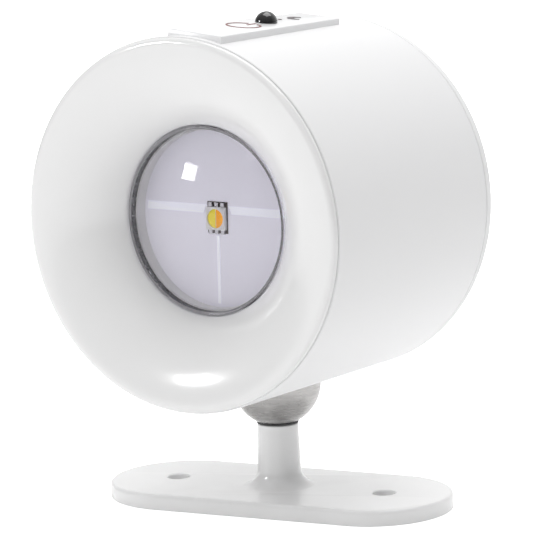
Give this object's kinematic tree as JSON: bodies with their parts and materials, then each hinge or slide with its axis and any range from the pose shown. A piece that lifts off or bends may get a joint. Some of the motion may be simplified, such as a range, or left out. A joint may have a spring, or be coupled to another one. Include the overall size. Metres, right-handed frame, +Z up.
{
  "type": "magnetic ball spot lamp",
  "caption": "Small white drum spot lamp with a domed clear lens in a flared bezel, held by a magnet on a steel ball above a slim slotted foot plate.",
  "frame": {"origin": "centre of the foot plate's underside, under the stem and the ball", "axes": "+X along the foot plate, +Z up the stem, the lamp facing roughly -Y"},
  "size_m": [0.0898, 0.0765, 0.1124],
  "materials": {
    "gloss_white": "glossy white moulded ABS",
    "satin_white": "satin white moulded ABS",
    "clear_lens": "clear polycarbonate",
    "steel": "brushed stainless steel",
    "magnet_metal": "nickel-plated neodymium",
    "screw_steel": "zinc-plated steel",
    "black_plastic": "glossy black resin",
    "dark_rubber": "matt dark silicone",
    "grey_foam": "closed-cell foam",
    "board_white": "white solder mask on aluminium",
    "board_green": "green solder mask on glass epoxy",
    "aluminium_cast": "die-cast aluminium",
    "cell_sleeve": "blue shrink sleeve on a steel can",
    "cradle_grey": "grey moulded ABS",
    "solder_tin": "tinned copper",
    "phosphor_yellow": "yellow phosphor gel",
    "phosphor_orange": "orange phosphor gel",
    "wire_skin": "red and black wire insulation",
    "icon_red": "dark red film",
    "icon_dark": "dark film"
  },
  "bodies": {
    "foot": {"base_plate": "gloss_white", "base_pad": "grey_foam"},
    "ball": {"steel_ball": "steel", "ball_screw": "screw_steel", "stem_washer": "dark_rubber"},
    "liner_pad": {"seat_pad": "dark_rubber"},
    "liner_ring": {"seat_ring": "black_plastic"},
    "lamp_head": {"socket_cup": "cradle_grey", "magnet": "magnet_metal", "magnet_yoke": "steel", "socket_clamp": "cradle_grey", "socket_screws": "screw_steel", "drum_shell": "satin_white", "rear_cover": "satin_white", "rear_cover_screws": "screw_steel", "front_bezel": "gloss_white", "lens": "clear_lens", "lens_gasket": "dark_rubber", "board_spacer": "satin_white", "led_board": "board_white", "board_tracks": "board_white", "chip_bed": "black_plastic", "led_package": "gloss_white", "led_terminals": "solder_tin", "phosphor_cool": "phosphor_yellow", "phosphor_warm": "phosphor_orange", "heat_sink": "aluminium_cast", "heat_sink_screws": "screw_steel", "battery_cell": "cell_sleeve", "battery_cradle": "cradle_grey", "cradle_screws": "screw_steel", "battery_contacts": "solder_tin", "battery_wires": "wire_skin", "main_board": "board_green", "main_board_parts": "black_plastic", "main_board_screws": "screw_steel", "usb_socket": "steel", "charge_light": "clear_lens", "led_wires": "wire_skin", "control_strip": "gloss_white", "power_icon": "icon_red", "night_icon": "icon_dark", "status_light": "icon_dark", "ir_dome": "black_plastic", "ir_receiver": "black_plastic", "touch_board": "board_green", "touch_board_screws": "screw_steel", "touch_pillars": "dark_rubber", "touch_cable": "wire_skin"}
  },
  "joints": [
    {"name": "swivel", "type": "hinge", "parent": "foot", "child": "ball", "pos_m": [0, 0, 0.0274], "axis": [0, 0, 1], "continuous": true},
    {"name": "lift_off", "type": "slide", "parent": "ball", "child": "liner_pad", "axis": [0.0835, 0.0136, 0.9964], "range_m": [0, 0.03]},
    {"name": "roll", "type": "hinge", "parent": "liner_pad", "child": "liner_ring", "pos_m": [0, 0, 0.0274], "axis": [0.1615, 0.9865, -0.027], "range_deg": [-20, 20]},
    {"name": "tilt", "type": "hinge", "parent": "liner_ring", "child": "lamp_head", "pos_m": [0, 0, 0.0274], "axis": [0.9833, -0.1632, -0.0802], "range_deg": [-38, 32]}
  ]
}
